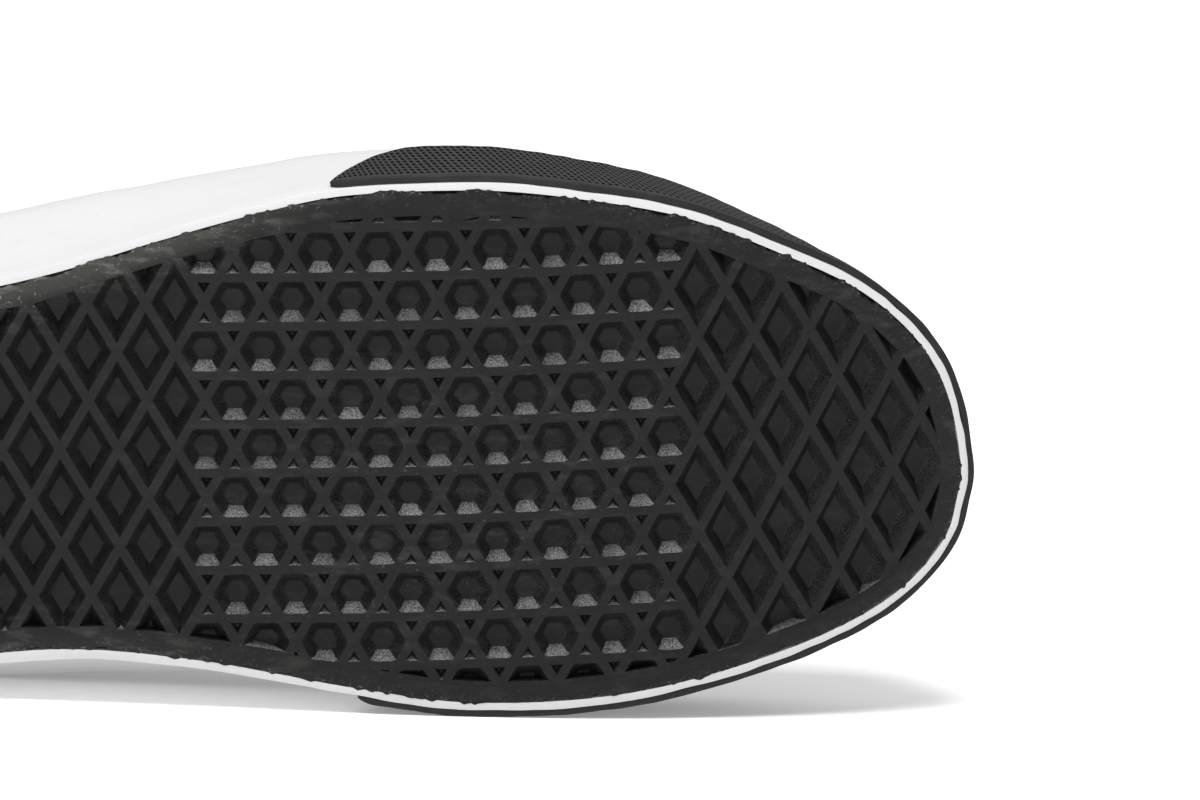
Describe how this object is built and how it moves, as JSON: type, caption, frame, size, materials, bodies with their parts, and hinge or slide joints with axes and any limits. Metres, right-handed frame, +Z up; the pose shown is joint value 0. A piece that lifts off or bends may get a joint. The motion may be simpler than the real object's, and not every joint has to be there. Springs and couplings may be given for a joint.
{
  "type": "skateboarding shoe",
  "caption": "Right skateboarding shoe on its side, black rubber tread of hexagons and diamonds, white foxing and black toe bumper.",
  "frame": {"origin": "centre of the bounding box in X and Y, on the floor that the shoe's medial side lies on", "axes": "+X from heel to toe, +Y from the tread towards the collar, +Z up, from the medial side on the floor to the lateral side"},
  "size_m": [0.296, 0.103, 0.1147],
  "materials": {
    "black_rubber": "moulded, matt, lightly scuffed",
    "white_rubber": "smooth vulcanised band",
    "black_bumper": "rubber with a fine slanted rib",
    "black_canvas": "plain weave",
    "black_suede": "napped suede with stitched edges",
    "insole_fabric": "brushed cloth over foam",
    "white_lace": "flat woven lace",
    "eyelet_metal": "black enamel"
  },
  "bodies": {
    "root": {"outsole": "black_rubber", "foxing_tape": "white_rubber", "toe_bumper": "black_bumper", "heel_patch": "black_rubber", "insole": "insole_fabric", "upper": "black_canvas", "toe_cap": "black_suede", "eyestay": "black_suede", "heel_counter": "black_suede", "heel_tab": "black_suede", "tongue": "black_canvas", "eyelet_lateral_1": "eyelet_metal", "eyelet_lateral_2": "eyelet_metal", "eyelet_lateral_3": "eyelet_metal", "eyelet_lateral_4": "eyelet_metal", "eyelet_lateral_5": "eyelet_metal", "eyelet_lateral_6": "eyelet_metal", "eyelet_medial_1": "eyelet_metal", "eyelet_medial_2": "eyelet_metal", "eyelet_medial_3": "eyelet_metal", "eyelet_medial_4": "eyelet_metal", "eyelet_medial_5": "eyelet_metal", "eyelet_medial_6": "eyelet_metal", "lace_bar_1": "white_lace", "lace_bar_2": "white_lace", "lace_bar_3": "white_lace", "lace_bar_4": "white_lace", "lace_bar_5": "white_lace", "lace_bar_6": "white_lace"}
  },
  "joints": []
}
